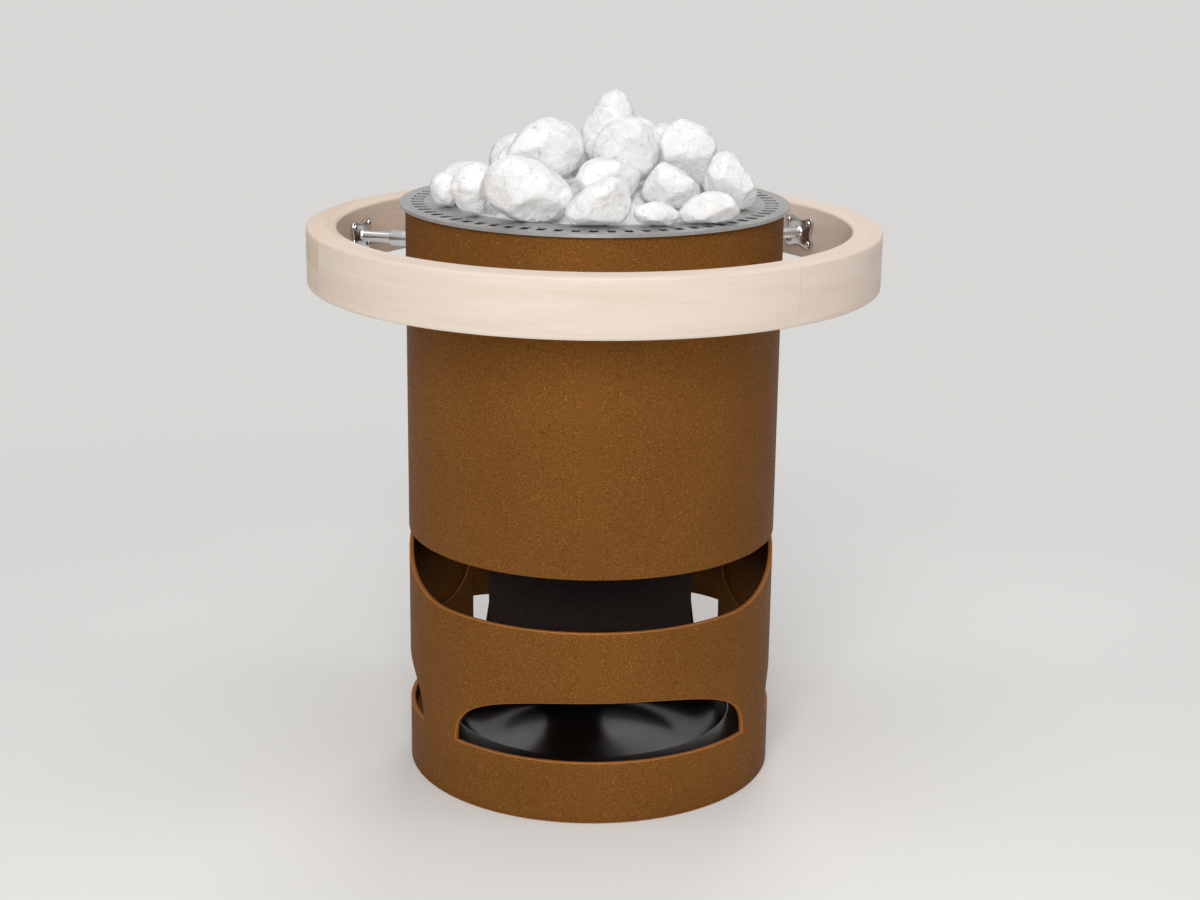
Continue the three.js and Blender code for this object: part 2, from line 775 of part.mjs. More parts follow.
function stoneHeap(support) {
  let laid = support;
  let top = bedCrown;
  const spread = basketRadius / heapReach;
  heap.forEach(([name, middleX, middleY, width, depth, height], i) => {
    const x = middleX * spread;
    const y = middleY * spread;
    const outline = stoneOutlines[name] ?? plainOutline;
    const shape = stoneShape(outline, width, depth, height, i + 1).translate(x, y, 0);
    const grow = 1 + (2 * seat) / Math.min(width, depth, height);
    const grown = shape.clone().translate(-x, -y, 0).scale(grow, grow, grow).translate(x, y, 0);
    const rest = restingHeight(toSolid(grown), laid, top + width + height);
    shape.translate(0, 0, rest);
    laid = laid.add(toSolid(shape));
    shape.computeBoundingBox();
    top = Math.max(top, shape.boundingBox.max.z);
    addPart(`stone_${name}`, shape, quartz);
  });
}

addPart("base_tube", baseTube(), coated);
addPart("rear_support", rearSupport(), coated);
addPart("bowl_ring", bowlRing(), coated);
addPart("drip_bowl", dripBowl(), blackGloss);
addPart("drum_shell", drumShell(), coated);
addPart("drum_floor", tube(floorRadius, floorHoleRadius, floorUnder, floorTop, innerSteps), galvanised);
const shield = tube(shieldRadius, shieldRadius - shieldWall, innerFoot, drumTop - shieldDrop, innerSteps);
addPart("heat_shield", shield, galvanised);
addPart("stone_basket", stoneBasket(), stainless);
addPart("stone_grate", stoneGrate(), stainless);
addPart("element_holder", elementHolder(), stainless);
for (let i = 0; i < elementCount; i++) {
  const turn = (360 * i) / elementCount;
  const element = addPart(`heating_element_${i + 1}`, heatingElement(), elementSteel);
  element.position.set(...polar(elementCircle, turn, 0));
  element.rotation.set(0, 0, radians(turn));
}
addPart("terminal_box", terminalBox(), darkSheet);
addPart("terminal_box_lid", terminalBoxLid(), darkSheet);
addPart("terminal_block", terminalBlock(), insulator);
addPart("cable_gland", cableGland(), rubberBlack);
rail();
const slottedPlate = addPart("top_plate", topPlate(), stainless);
const bed = addPart("stone_bed", stoneBed(), quartz);
stoneHeap(toSolid(slottedPlate.geometry).add(toSolid(bed.geometry)));

export default heater;
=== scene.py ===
# A round sauna heater: coated drum and base, heaped white stones, wooden guard rail on steel brackets.
# Metres, +Z up, the front at -Y. Angles are degrees from the front towards +X.
import json
import math
import random

import bmesh
import bpy
import numpy as np
from mathutils import Matrix, Vector, noise


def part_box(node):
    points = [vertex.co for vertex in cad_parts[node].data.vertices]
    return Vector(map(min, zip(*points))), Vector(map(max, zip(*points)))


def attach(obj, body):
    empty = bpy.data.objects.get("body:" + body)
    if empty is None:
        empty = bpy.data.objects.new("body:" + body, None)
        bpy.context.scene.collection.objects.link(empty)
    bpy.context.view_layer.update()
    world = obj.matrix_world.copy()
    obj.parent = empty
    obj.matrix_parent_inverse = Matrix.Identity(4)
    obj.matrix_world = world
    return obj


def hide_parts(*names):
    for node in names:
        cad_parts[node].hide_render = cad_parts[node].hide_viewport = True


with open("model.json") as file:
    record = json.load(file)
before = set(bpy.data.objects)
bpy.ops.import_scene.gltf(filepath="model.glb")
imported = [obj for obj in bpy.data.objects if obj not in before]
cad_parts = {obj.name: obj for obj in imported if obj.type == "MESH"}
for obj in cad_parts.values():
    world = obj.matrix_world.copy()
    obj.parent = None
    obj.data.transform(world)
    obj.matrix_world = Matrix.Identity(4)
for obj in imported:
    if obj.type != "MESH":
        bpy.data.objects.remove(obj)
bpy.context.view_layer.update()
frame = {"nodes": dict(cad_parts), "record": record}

nodes = frame["nodes"]
body_of_node = {}
for body, members in frame["record"]["behaviour"]["bodies"].items():
    for member in members:
        body_of_node[member] = body

MM = 0.001

# Camera, in millimetres and degrees
CAMERA_AIM = Vector((8.7, 0, 350.1))
CAMERA_DISTANCE = 2352.2
CAMERA_PITCH = 15.6
CAMERA_ROLL = 0.7
CAMERA_LENS = 64.6
CAMERA_SENSOR = 36
CAMERA_DEPTH = 200  # metres that it sees

# Drum and base, in millimetres and degrees
SEAT = 0.3  # between pieces that touch
DRUM_RADIUS = 200
DRUM_WALL = 2
DRUM_BOTTOM = 268
DRUM_TOP = 620
DRUM_LIP = 15
DRUM_ROUNDING = 1.5
BASE_WALL = 5
BASE_TOP = 267.7
SILL_HEIGHT = 211  # lower edge of the front window
SILL_HALF = 50
WINDOW_HALF = 100
WINDOW_RISE = 1.7  # exponent of the curve from the sill up to the drum
SLOT_MIDDLES = (5.5, 125.5, -114.5)
SLOT_HALF = 50.5
SLOT_BOTTOM = 68
SLOT_TIP = 2  # height of a slot at its two ends
SLOT_RISE = 64
SLOT_SQUARENESS = 2.4  # exponent of a slot's upper edge
SLOT_END_COLUMNS = (0.35, 0.7)  # from a slot's end to the columns that round it
SHEET_ROUNDING = 0.9

# Rear support, ring and bowl inside the base
SUPPORT_OUTER = 194.2
SUPPORT_WALL = 4
SUPPORT_MIDDLE = 177.5
SUPPORT_HALF = 50.5
SUPPORT_FOOT = 68
SUPPORT_FLARE_TOP = 185
SUPPORT_FLARE_END = 140
SUPPORT_EDGE = 1  # sheet left over a leg's lower part, where the leg is lower than the arch
ARCH_HALF = 49
ARCH_TOP = 158
RING_TOP = 54
RING_THICKNESS = 2
RING_WIDTH = 22
RING_SKIRT = 16
RING_ROUNDING = 0.7
BOWL_RADIUS = 157
BOWL_WALL = 2
BOWL_DEPTH = 44
BOWL_FLOOR = 96
BOWL_FLANGE = 187.3
BOWL_RIM = 56.3
BOWL_EDGE = 0.5  # bevel of the flange
BOWL_STEPS = 20
BOWL_LIP = 1.6  # rounding between the bowl's side and its flange
BOWL_LIP_TURNS = (0.4, 0.8, 1.2, math.pi / 2)

# Top plate
PLATE_UNDER = 620.3
PLATE_THICKNESS = 3.4
PLATE_RADIUS = 206
PLATE_HOLE = 152
PLATE_SLOTS = 68
PLATE_SLOT_MIDDLE = 187
PLATE_SLOT_LENGTH = 14
PLATE_SLOT_WIDTH = 8.5
PLATE_SLOT_ROUNDING = 3
PLATE_SHEET = 1
PLATE_FOLD = 1.5  # sheet folded down at the rim and over the basket
PLATE_FOLD_INSET = 0.1
BASKET_RADIUS = 160

# Guard rail and its brackets
RAIL_INNER = 272
RAIL_OUTER = 304
RAIL_BOTTOM = 540
RAIL_TOP = 600
RAIL_ROUNDING = 3
RAIL_ROUNDING_STEPS = 4
RAIL_STEP = 1.5
RAIL_JOINTS = (-66, 41, 167)
RAIL_GLUE = 0.07
BRACKET_ANGLES = (7, 121, 253)
BRACKET_HEIGHT = 570
FLANGE_HOLE_X = 18.5
FLANGE_HOLE_Z = 11.5
FLANGE_EAR = 6
FLANGE_WAIST = 3.5
FLANGE_FRONT = 267
FLANGE_THICKNESS = 3.6
FLANGE_ROUNDING = 0.9
FLANGE_STEPS = 10
ROD_RADIUS = 6
ROD_START = 205
ROD_BEAD = ((0, -3), (0.4, -1.4), (1.6, 0.2))  # out from the rod and on from the flange's front
ROD_STEPS = 32
SLEEVE_RADIUS = 8.5
SLEEVE_START = 200.3
SLEEVE_LENGTH = 32
SLEEVE_PLAY = 0.15
SLEEVE_ROUNDING = 0.8
SLEEVE_STEPS = 40
SCREW_RADIUS = 3.3
SCREW_HEIGHT = 2
SCREW_HEAD = ((0, 1.2), (1.3, 1.2), (1.5, 0), (2.3, 0.25), (3.0, 0.9))  # radius and place from its top
SCREW_SINK = 0.1
SCREW_STEPS = 24

# Single stones: their flats, and the scale and depth of their wear as a share of their size
STONE_SEED = 3
STONE_DETAIL = 5
STONE_SHARPNESS = 26
STONE_FLATS = 20
OUTLINE_FLATS = 16
FLAT_STRAY = 0.25
FLAT_DEPTH = (0.9, 1.0)
STONE_HOLLOWS = (42, 0.034)
STONE_CHIPS = (95, 0.026)
STONE_GRAIN = (210, 0.008)
STONE_RISE = 0.004  # makes up for what the chips take away
STONE_SHIFT = (7.31, 3.17, 5.53)  # between the wear of one stone and the next

# Bed of packed stones, on a dome under the heap
BED_SEED = 11
BED_SHOULDER = 598
BED_CROWN = 646
BED_RADIUS = 157
BED_DEPTH = 60
DOME_SINK = 24
DOME_RINGS = 12
DOME_STEPS = 48
PACKED_COUNT = 84
PACKED_DETAIL = 3
PACKED_INSET = 14
PACKED_SIZES = ((34, 46), (30, 42), (28, 38))  # least and most width, depth and height
PACKED_SPIN = 6.28  # most that a stone is turned about, in radians
PACKED_TILT = 0.4
PACKED_SINK = 0.42  # share of a stone's height that lies below the bed's surface
PACKED_LUMPS = (1.3, 0.22)
PACKED_DENTS = (3.1, 0.10)
PACKED_SHIFT = (5.7, 2.3, 9.1)

# Inside the drum and under it
ELEMENT_COUNT = 6
BOX_ROUNDING = 0.7

# Meshes
ROUND_STEPS = 180
WELD = 1e-6  # metres between points that are one
SHEET_WELD = 2e-6
SLIVER = 1e-7
CORNER_SHARE = 0.45  # most of an edge that a rounding takes
GOLDEN_ANGLE = math.pi * (3 - math.sqrt(5))
GOLDEN_DEGREES = 137.5

scene = bpy.context.scene


# Camera
def make_camera():
    data = bpy.data.cameras.new("photo_camera")
    data.sensor_fit = "HORIZONTAL"
    data.sensor_width = CAMERA_SENSOR
    data.lens = CAMERA_LENS
    data.clip_end = CAMERA_DEPTH
    camera = bpy.data.objects.new("photo_camera", data)
    scene.collection.objects.link(camera)
    pitch = math.radians(CAMERA_PITCH)
    roll = math.radians(CAMERA_ROLL)
    forward = Vector((0, math.cos(pitch), -math.sin(pitch)))
    side = Vector((1, 0, 0))
    above = Vector((0, math.sin(pitch), math.cos(pitch)))
    right = math.cos(roll) * side + math.sin(roll) * above
    up = math.cos(roll) * above - math.sin(roll) * side
    turn = Matrix((right, up, -forward)).transposed()
    place = (CAMERA_AIM - CAMERA_DISTANCE * forward) * MM
    camera.matrix_world = Matrix.Translation(place) @ turn.to_4x4()
    scene.camera = camera


make_camera()


# Materials
class Shader:
    """A new material and short ways to add and join its nodes."""

    def __init__(self, name, **sockets):
        self.material = bpy.data.materials.new(name)
        self.material.use_nodes = True
        self.tree = self.material.node_tree
        self.surface = self.tree.nodes["Principled BSDF"]
        for socket, value in sockets.items():
            self.surface.inputs[socket.replace("_", " ")].default_value = value
        self.place = self.add("ShaderNodeTexCoord").outputs["Object"]

    def add(self, kind, **settings):
        node = self.tree.nodes.new(kind)
        for setting, value in settings.items():
            setattr(node, setting, value)
        return node

    def join(self, source, target):
        self.tree.links.new(source, target)

    def feed(self, node, values):
        for socket, value in values.items():
            if isinstance(value, bpy.types.NodeSocket):
                self.join(value, node.inputs[socket])
            else:
                node.inputs[socket].default_value = value

    def noise(self, scale, detail=3, vector=None, distortion=0.0, roughness=0.5):
        node = self.add("ShaderNodeTexNoise")
        values = {"Scale": scale, "Detail": detail, "Distortion": distortion, "Roughness": roughness}
        self.feed(node, {"Vector": vector or self.place, **values})
        return node.outputs["Fac"]

    def ramp(self, factor, *stops):
        node = self.add("ShaderNodeValToRGB")
        elements = node.color_ramp.elements
        while len(elements) < len(stops):
            elements.new(0.5)
        for element, (position, colour) in zip(elements, stops):
            element.position = position
            element.color = colour if isinstance(colour, tuple) else (colour, colour, colour, 1)
        self.join(factor, node.inputs["Fac"])
        return node.outputs["Color"]

    def math(self, operation, first, second=0.0):
        node = self.add("ShaderNodeMath", operation=operation)
        self.feed(node, {0: first, 1: second})
        return node.outputs[0]

    def mix(self, factor, first, second, blend="MIX"):
        node = self.add("ShaderNodeMix", data_type="RGBA", blend_type=blend)
        self.feed(node, {0: factor, 6: first, 7: second})
        return node.outputs[2]

    def stretch(self, scale, vector=None):
        node = self.add("ShaderNodeMapping")
        self.feed(node, {"Vector": vector or self.place})
        node.inputs["Scale"].default_value = scale
        return node.outputs["Vector"]

    def bump(self, height, strength, distance, under=None):
        node = self.add("ShaderNodeBump")
        self.feed(node, {"Height": height, "Strength": strength, "Distance": distance})
        if under is not None:
            self.join(under, node.inputs["Normal"])
        return node.outputs["Normal"]

    def set(self, **sockets):
        self.feed(self.surface, {name.replace("_", " "): value for name, value in sockets.items()})
        return self.material


def srgb(red, green, blue):
    """A colour as it is seen, from 0 to 255, for a shader."""
    values = []
    for value in (red, green, blue):
        share = value / 255
        values.append(share / 12.92 if share <= 0.04045 else ((share + 0.055) / 1.055) ** 2.4)
    return (*values, 1)


def coat_material(name, dark, middle, gold, roughness):
    """Textured coat: fine flecks on a mottled ground, with a grainy surface."""
    s = Shader(name, Metallic=0.3, Specular_IOR_Level=0.1, Specular_Tint=dark)
    grain = s.noise(760, 4, roughness=0.75)
    flecks = s.ramp(grain, (0.30, dark), (0.47, middle), (0.58, middle), (0.70, gold))
    mottle = s.ramp(s.noise(9, 4), (0.3, 0.94), (0.7, 1.05))
    colour = s.mix(1.0, flecks, mottle, "MULTIPLY")
    gloss = s.ramp(grain, (0.3, roughness + 0.14), (0.75, roughness - 0.16))
    relief = s.bump(grain, 0.5, 0.0006)
    return s.set(Base_Color=colour, Roughness=gloss, Normal=relief)


def stone_material():
    """White quartz: faint grey clouds and veins, small dark spots of painted shade for little hollows, and
    crystal grain.
    """
    s = Shader("quartz_stone", Specular_IOR_Level=0.35)
    clouds = s.ramp(s.noise(14, 5), (0.30, srgb(238, 237, 236)), (0.55, srgb(249, 248, 247)))
    warped = s.noise(24, 4, distortion=1.2)
    veins = s.ramp(s.math("ABSOLUTE", s.math("SUBTRACT", warped, 0.5)), (0.0, 0.74), (0.022, 1.0))
    # Small dark spots: painted shade of little hollows in the stone.
    pit_shade = s.ramp(s.noise(150, 3, roughness=0.65), (0.28, 0.66), (0.37, 1.0))
    colour = s.mix(1.0, s.mix(0.4, clouds, veins, "MULTIPLY"), pit_shade, "MULTIPLY")
    gloss = s.ramp(s.noise(60, 3), (0.3, 0.62), (0.7, 0.86))
    coarse = s.bump(s.noise(75, 6, distortion=0.6, roughness=0.62), 0.8, 0.005)
    fine = s.bump(s.noise(340, 3, roughness=0.7), 0.3, 0.0012, coarse)
    return s.set(Base_Color=colour, Roughness=gloss, Normal=fine)


def wood_material(name, pale, dark, shift):
    """Sanded pale wood whose grain runs round the rail."""
    s = Shader(name, Specular_IOR_Level=0.3)
    turned = s.add("ShaderNodeMapping")
    s.join(s.place, turned.inputs["Vector"])
    turned.inputs["Rotation"].default_value = (0, 0, math.radians(180 - RAIL_JOINTS[2]))
    parts = s.add("ShaderNodeSeparateXYZ")
    s.join(turned.outputs["Vector"], parts.inputs["Vector"])
    x, y, z = parts.outputs
    backwards = s.math("MULTIPLY", y, -1.0)
    arc = s.math("MULTIPLY", s.math("ARCTAN2", x, backwards), RAIL_OUTER * MM)
    reach = s.math("SQRT", s.math("ADD", s.math("MULTIPLY", x, x), s.math("MULTIPLY", y, y)))
    along = s.add("ShaderNodeCombineXYZ")
    s.feed(along, {0: s.math("ADD", arc, shift), 1: reach, 2: z})
    place = along.outputs["Vector"]
    fibre = s.noise(22, 5, s.stretch((1.0, 26, 26), place), roughness=0.62)
    figure = s.noise(6, 3, s.stretch((0.8, 9, 9), place), distortion=0.8)
    pores = s.noise(60, 2, s.stretch((1.4, 22, 22), place))
    ground = s.ramp(figure, (0.32, dark), (0.62, pale))
    streaks = s.ramp(fibre, (0.30, 0.955), (0.60, 1.0))
    marks = s.ramp(pores, (0.22, 0.93), (0.34, 1.0))
    colour = s.mix(1.0, s.mix(1.0, ground, streaks, "MULTIPLY"), marks, "MULTIPLY")
    gloss = s.ramp(fibre, (0.3, 0.66), (0.7, 0.52))
    relief = s.bump(fibre, 0.18, 0.0008)
    return s.set(Base_Color=colour, Roughness=gloss, Normal=relief)


def metal_material(name, dull, bright, smooth, rough, stretch, grain_scale=90):
    """Steel with fine draw marks and slight clouds."""
    s = Shader(name, Metallic=1.0)
    marks = s.noise(grain_scale, 4, s.stretch(stretch), roughness=0.6)
    clouds = s.noise(14, 4)
    lines = s.ramp(marks, (0.3, dull), (0.7, bright))
    patches = s.ramp(clouds, (0.3, dull), (0.7, bright))
    colour = s.mix(0.5, lines, patches)
    line_gloss = s.ramp(marks, (0.3, smooth), (0.7, rough))
    patch_gloss = s.ramp(clouds, (0.35, smooth), (0.7, rough))
    gloss = s.mix(0.5, line_gloss, patch_gloss)
    relief = s.bump(marks, 0.06, 0.0004)
    return s.set(Base_Color=colour, Roughness=gloss, Normal=relief)


def enamel_material():
    """Glossy black enamel with a faint ripple and a little dust."""
    s = Shader("black_enamel", Specular_IOR_Level=0.4, Coat_Weight=0.25, Coat_Roughness=0.1)
    dust = s.noise(260, 4, roughness=0.7)
    film = s.noise(11, 3)
    colour = s.ramp(dust, (0.5, srgb(14, 15, 17)), (0.78, srgb(44, 45, 47)))
    gloss = s.ramp(film, (0.3, 0.12), (0.75, 0.26))
    relief = s.bump(s.noise(45, 2), 0.05, 0.0006)
    return s.set(Base_Color=colour, Roughness=gloss, Normal=relief)


def moulded_material(name, low, high, roughness):
    """Moulded or fired body with a fine matt grain."""
    s = Shader(name)
    grain = s.noise(420, 3, roughness=0.65)
    colour = s.ramp(s.mix(0.5, grain, s.noise(30, 3)), (0.35, low), (0.65, high))
    gloss = s.ramp(grain, (0.3, roughness + 0.1), (0.7, roughness - 0.1))
    return s.set(Base_Color=colour, Roughness=gloss, Normal=s.bump(grain, 0.2, 0.0004))


coat = coat_material(
    "rust_brown_coat", srgb(58, 35, 11), srgb(126, 82, 37), srgb(208, 148, 76), 0.5
)
# Lighter copy of the coat for the sheets' cut rims: partly worn edge, partly painted highlight.
coat_edge_highlight = coat_material(
    "rust_brown_edge_highlight", srgb(120, 74, 34), srgb(176, 112, 58), srgb(222, 164, 104), 0.4
)
dark_coat = coat_material(
    "dark_coated_sheet", srgb(24, 20, 20), srgb(44, 36, 35), srgb(84, 74, 78), 0.56
)
quartz = stone_material()
enamel = enamel_material()
polished = metal_material("polished_stainless", 0.52, 0.72, 0.14, 0.3, (1, 1, 6))
sheet = metal_material("stainless_sheet", 0.38, 0.50, 0.36, 0.54, (1, 1, 1), 60)
galvanised = metal_material("galvanised_sheet", 0.14, 0.24, 0.45, 0.65, (1, 1, 1), 40)
element_steel = metal_material("element_steel", 0.12, 0.24, 0.35, 0.55, (1, 1, 0.2))
insulator = moulded_material("insulator", srgb(196, 190, 176), srgb(226, 221, 210), 0.7)
gland_black = moulded_material("black_gland", srgb(18, 18, 19), srgb(40, 40, 42), 0.6)
# The rail boards differ a little in tone; past that, the right board is painted paler as painted light and
# the left board darker as painted shade.
wood_light = wood_material("pale_wood_front", srgb(233, 217, 202), srgb(226, 207, 191), 0.0)
wood_rose_lit = wood_material("pale_wood_right_lit", srgb(235, 218, 204), srgb(229, 208, 193), 3.1)
wood_tan_shaded = wood_material("pale_wood_left_shaded", srgb(231, 211, 193), srgb(220, 197, 177), 5.7)


# Mesh helpers
def polar(radius, angle, height):
    turn = math.radians(angle)
    return Vector((radius * math.sin(turn), -radius * math.cos(turn), height)) * MM


def add_piece(name, mesh, body, slot, replaced, *materials):
    """A piece in the scene that rides on a body and stands for its CAD nodes."""
    piece = bpy.data.objects.new(name, mesh)
    scene.collection.objects.link(piece)
    for material in materials:
        mesh.materials.append(material)
    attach(piece, body)
    if replaced:
        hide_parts(*replaced)


def finish_mesh(name, bm, smooth_angle=40):
    """Closes a bmesh into a mesh whose faces shade smoothly except over sharp edges."""
    bmesh.ops.remove_doubles(bm, verts=bm.verts, dist=WELD)
    bmesh.ops.recalc_face_normals(bm, faces=bm.faces)
    limit = math.radians(smooth_angle)
    for edge in bm.edges:
        edge.smooth = len(edge.link_faces) == 2 and edge.calc_face_angle(0) < limit
    for face in bm.faces:
        face.smooth = True
    mesh = bpy.data.meshes.new(name)
    bm.to_mesh(mesh)
    bm.free()
    return mesh


def rounded(corners, radius, steps=3):
    """A closed outline of 2-D points with its corners rounded."""
    points = []
    count = len(corners)
    for i, corner in enumerate(corners):
        here = Vector(corner)
        before = Vector(corners[i - 1]) - here
        after = Vector(corners[(i + 1) % count]) - here
        reach = min(radius, CORNER_SHARE * before.length, CORNER_SHARE * after.length)
        start = here + before.normalized() * reach
        end = here + after.normalized() * reach
        for k in range(steps + 1):
            t = k / steps
            points.append((1 - t) ** 2 * start + 2 * t * (1 - t) * here + t ** 2 * end)
    return points


def turned(bm, profile, steps=ROUND_STEPS, place=Matrix()):
    """Turns a closed profile of (radius, height) points about the vertical axis, in millimetres."""
    rings = []
    for i in range(steps):
        turn = 2 * math.pi * i / steps
        ring = []
        for radius, height in profile:
            point = Vector((radius * math.sin(turn), -radius * math.cos(turn), height)) * MM
            ring.append(bm.verts.new(place @ point))
        rings.append(ring)
    count = len(profile)
    for i in range(steps):
        near, far = rings[i], rings[(i + 1) % steps]
        for k in range(count):
            m = (k + 1) % count
            if max(profile[k][0], profile[m][0]) < WELD:
                continue
            bm.faces.new((near[k], far[k], far[m], near[m]))


def turned_mesh(name, profile, steps=ROUND_STEPS):
    bm = bmesh.new()
    turned(bm, profile, steps)
    bmesh.ops.remove_doubles(bm, verts=bm.verts, dist=WELD)
    bmesh.ops.dissolve_degenerate(bm, edges=bm.edges, dist=SLIVER)
    return finish_mesh(name, bm)


def bent_sheet(name, columns, bands, inner, outer):
    """A sheet bent round the vertical axis, with edges that follow the angle and rounded rims."""
    bm = bmesh.new()
    for start, end in zip(columns, columns[1:]):
        middle = (start + end) / 2
        for low, high, there, rows in bands:
            if not there(middle):
                continue
            for i in range(rows):
                corners = []
                for angle, row in ((start, i), (end, i), (end, i + 1), (start, i + 1)):
                    height = low(angle) + (high(angle) - low(angle)) * row / rows
                    corners.append(bm.verts.new(polar(outer, angle, height)))
                bm.faces.new(corners)
    bmesh.ops.remove_doubles(bm, verts=bm.verts, dist=SHEET_WELD)
    outside = list(bm.faces)
    rim = [edge for edge in bm.edges if len(edge.link_faces) == 1]
    shrink = inner / outer
    twin = {}
    for vert in list(bm.verts):
        twin[vert] = bm.verts.new((vert.co.x * shrink, vert.co.y * shrink, vert.co.z))
    for face in outside:
        bm.faces.new([twin[vert] for vert in reversed(face.verts)])
    # The rim faces take the second material, whose lighter coat paints a highlight on the cut edges.
    for edge in rim:
        first, second = edge.verts
        bm.faces.new((first, second, twin[second], twin[first])).material_index = 1
    bmesh.ops.recalc_face_normals(bm, faces=bm.faces)
    sharp = [edge for edge in bm.edges if len({face.material_index for face in edge.link_faces}) == 2]
    bmesh.ops.bevel(
        bm,
        geom=sharp,
        offset=SHEET_ROUNDING * MM,
        segments=2,
        profile=0.5,
        affect="EDGES",
        clamp_overlap=False,
        material=1,
    )
    return finish_mesh(name, bm, smooth_angle=50)


def filled_outline(name, outlines, low, high, bevel):
    """A flat plate from an outline and its holes, with rounded edges, lying between two heights."""
    curve = bpy.data.curves.new(name, "CURVE")
    curve.dimensions = "2D"
    curve.fill_mode = "BOTH"
    curve.extrude = ((high - low) / 2 - bevel) * MM
    curve.bevel_depth = bevel * MM
    curve.bevel_resolution = 1
    curve.offset = -bevel * MM
    for outline in outlines:
        spline = curve.splines.new("POLY")
        spline.points.add(len(outline) - 1)
        for point, (x, y) in zip(spline.points, outline):
            point.co = (x * MM, y * MM, 0, 1)
        spline.use_cyclic_u = True
    holder = bpy.data.objects.new(name, curve)
    scene.collection.objects.link(holder)
    depsgraph = bpy.context.evaluated_depsgraph_get()
    mesh = bpy.data.meshes.new_from_object(holder.evaluated_get(depsgraph))
    bpy.data.objects.remove(holder)
    bpy.data.curves.remove(curve)
    bm = bmesh.new()
    bm.from_mesh(mesh)
    bpy.data.meshes.remove(mesh)
    bmesh.ops.translate(bm, verts=bm.verts, vec=(0, 0, (low + high) / 2 * MM))
    return finish_mesh(name, bm)


# Base tube
def sill(angle):
    share = max(0, (abs(angle) - SILL_HALF) / (WINDOW_HALF - SILL_HALF))
    return min(BASE_TOP, SILL_HEIGHT + (BASE_TOP - SILL_HEIGHT) * share ** WINDOW_RISE)


def slot_share(angle):
    """How far an angle lies from the nearest slot's middle, as a share of the slot's half."""
    apart = min(abs((angle - middle + 180) % 360 - 180) for middle in SLOT_MIDDLES)
    return apart / SLOT_HALF


def slot_crown(angle):
    share = min(1, slot_share(angle))
    return SLOT_BOTTOM + SLOT_TIP + SLOT_RISE * (1 - share ** SLOT_SQUARENESS) ** (1 / SLOT_SQUARENESS)


def make_base():
    columns = set(range(-180, 181))
    for middle in SLOT_MIDDLES:
        for inset in SLOT_END_COLUMNS:
            for side in (-1, 1):
                angle = middle + side * (SLOT_HALF - inset)
                columns.add((angle + 180) % 360 - 180)
    bands = (
        (lambda a: 0, lambda a: SLOT_BOTTOM, lambda a: True, 8),
        (lambda a: SLOT_BOTTOM, slot_crown, lambda a: slot_share(a) > 1, 1),
        (slot_crown, sill, lambda a: True, 10),
    )
    mesh = bent_sheet("base_sheet", sorted(columns), bands, DRUM_RADIUS - BASE_WALL, DRUM_RADIUS)
    add_piece("base_sheet", mesh, "stove", "rust_brown_coat", ["base_tube"], coat, coat_edge_highlight)


# Rear support: a tall sheet that flares into two legs, with an arch between them
def support_turn(angle):
    return abs(angle - SUPPORT_MIDDLE)


def support_top(angle):
    drop = SUPPORT_FLARE_TOP - SUPPORT_FLARE_END
    flare = math.degrees(drop / (SUPPORT_OUTER - SUPPORT_WALL))
    share = min(1, max(0, (support_turn(angle) - SUPPORT_HALF) / flare))
    return SUPPORT_FLARE_TOP - drop * math.sqrt(1 - (1 - share) ** 2)


def support_shoulder(angle):
    return min(ARCH_TOP, support_top(angle) - SUPPORT_EDGE)


def make_rear_support():
    columns = {SUPPORT_MIDDLE - SUPPORT_HALF, SUPPORT_MIDDLE + SUPPORT_HALF}
    columns.update(SUPPORT_MIDDLE + step for step in range(-SUPPORT_FOOT, SUPPORT_FOOT + 1))
    foot = RING_TOP + SEAT
    bands = (
        (lambda a: foot, support_shoulder, lambda a: support_turn(a) > ARCH_HALF, 6),
        (support_shoulder, support_top, lambda a: True, 2),
        (lambda a: SUPPORT_FLARE_TOP, lambda a: BASE_TOP, lambda a: support_turn(a) < SUPPORT_HALF, 6),
    )
    mesh = bent_sheet("rear_sheet", sorted(columns), bands, SUPPORT_OUTER - SUPPORT_WALL, SUPPORT_OUTER)
    add_piece("rear_sheet", mesh, "stove", "rust_brown_coat", ["rear_support"], coat, coat_edge_highlight)


# Ring, bowl and drum, turned about the heater's axis
def make_ring():
    outer = DRUM_RADIUS - BASE_WALL - SEAT
    inner = outer - RING_WIDTH
    skirt = RING_TOP - RING_THICKNESS - RING_SKIRT
    shelf = RING_TOP - RING_THICKNESS
    profile = rounded([
        (outer - RING_THICKNESS, skirt),
        (outer, skirt),
        (outer, RING_TOP),
        (inner, RING_TOP),
        (inner, shelf),
        (outer - RING_THICKNESS, shelf),
    ], RING_ROUNDING)
    mesh = turned_mesh("ring_shelf", profile)
    add_piece("ring_shelf", mesh, "stove", "rust_brown_coat", ["bowl_ring"], coat)


